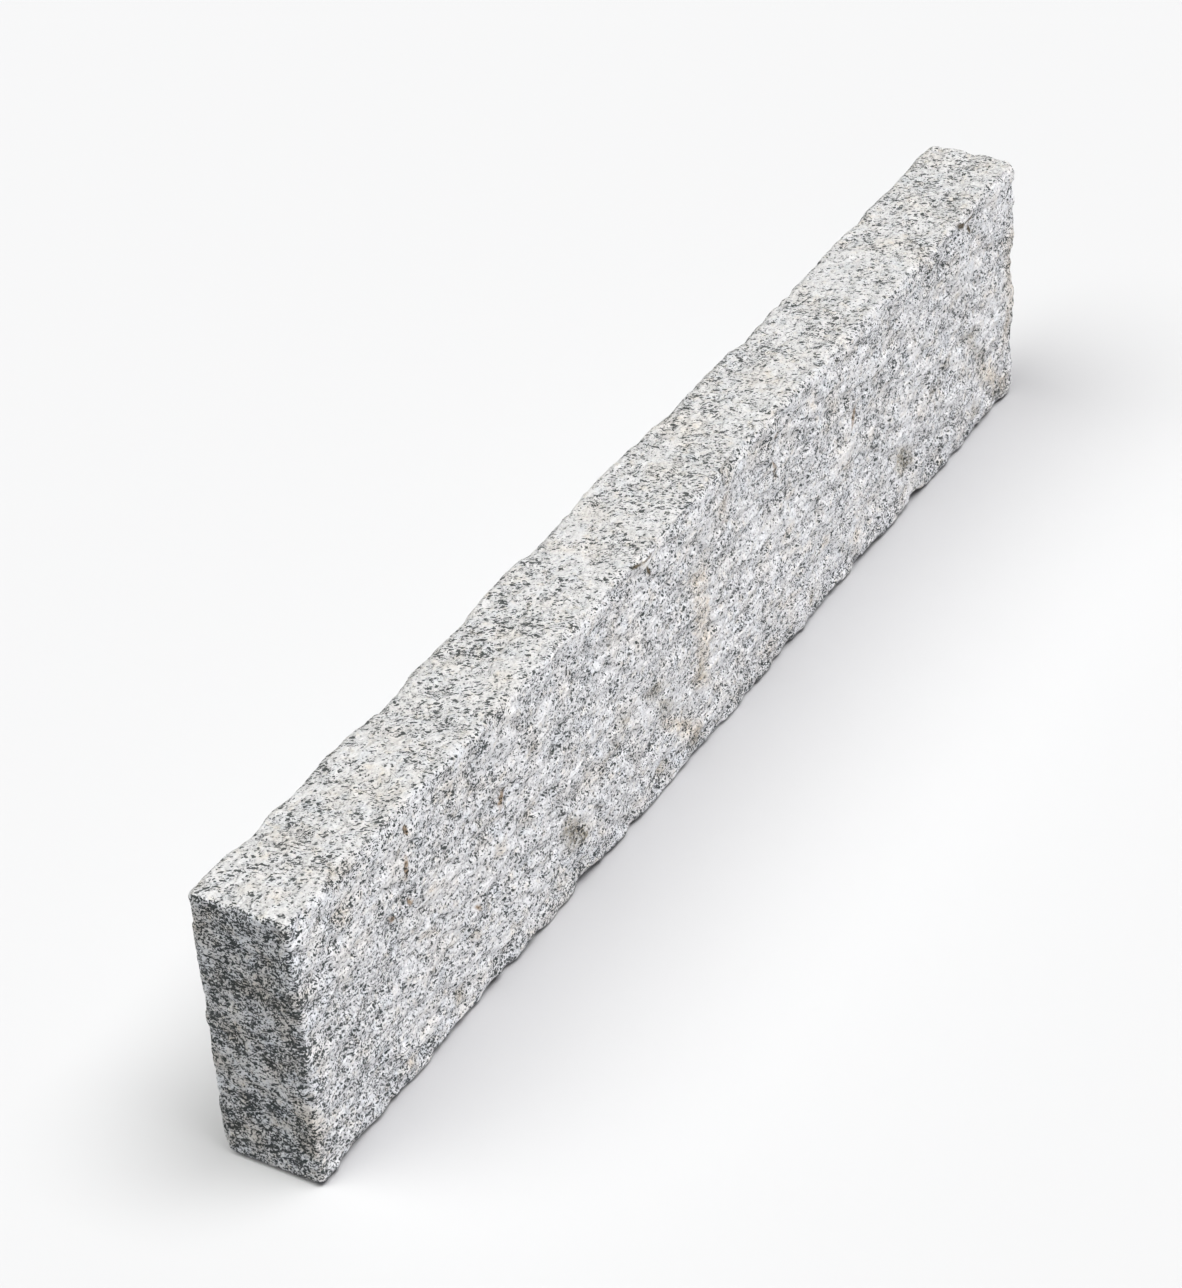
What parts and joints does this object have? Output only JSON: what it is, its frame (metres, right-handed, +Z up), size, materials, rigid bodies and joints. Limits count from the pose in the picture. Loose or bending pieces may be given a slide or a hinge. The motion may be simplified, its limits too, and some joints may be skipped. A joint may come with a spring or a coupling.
{
  "type": "stone lawn edging",
  "caption": "Long upright block of light grey speckled granite with hewn faces and worn, chipped arrises, set on edge in the ground to border a lawn, bed or path.",
  "frame": {"origin": "middle of the bed, the narrow bottom face that the stone stands on", "axes": "+X along the length, from the near end to the far end, front face towards -Y, +Z up"},
  "size_m": [1, 0.0738, 0.2044],
  "materials": {
    "granite": "hewn and bush-hammered light grey granite with black mica specks and a few rust stains"
  },
  "bodies": {
    "root": {"edging_stone": "granite"}
  },
  "joints": []
}
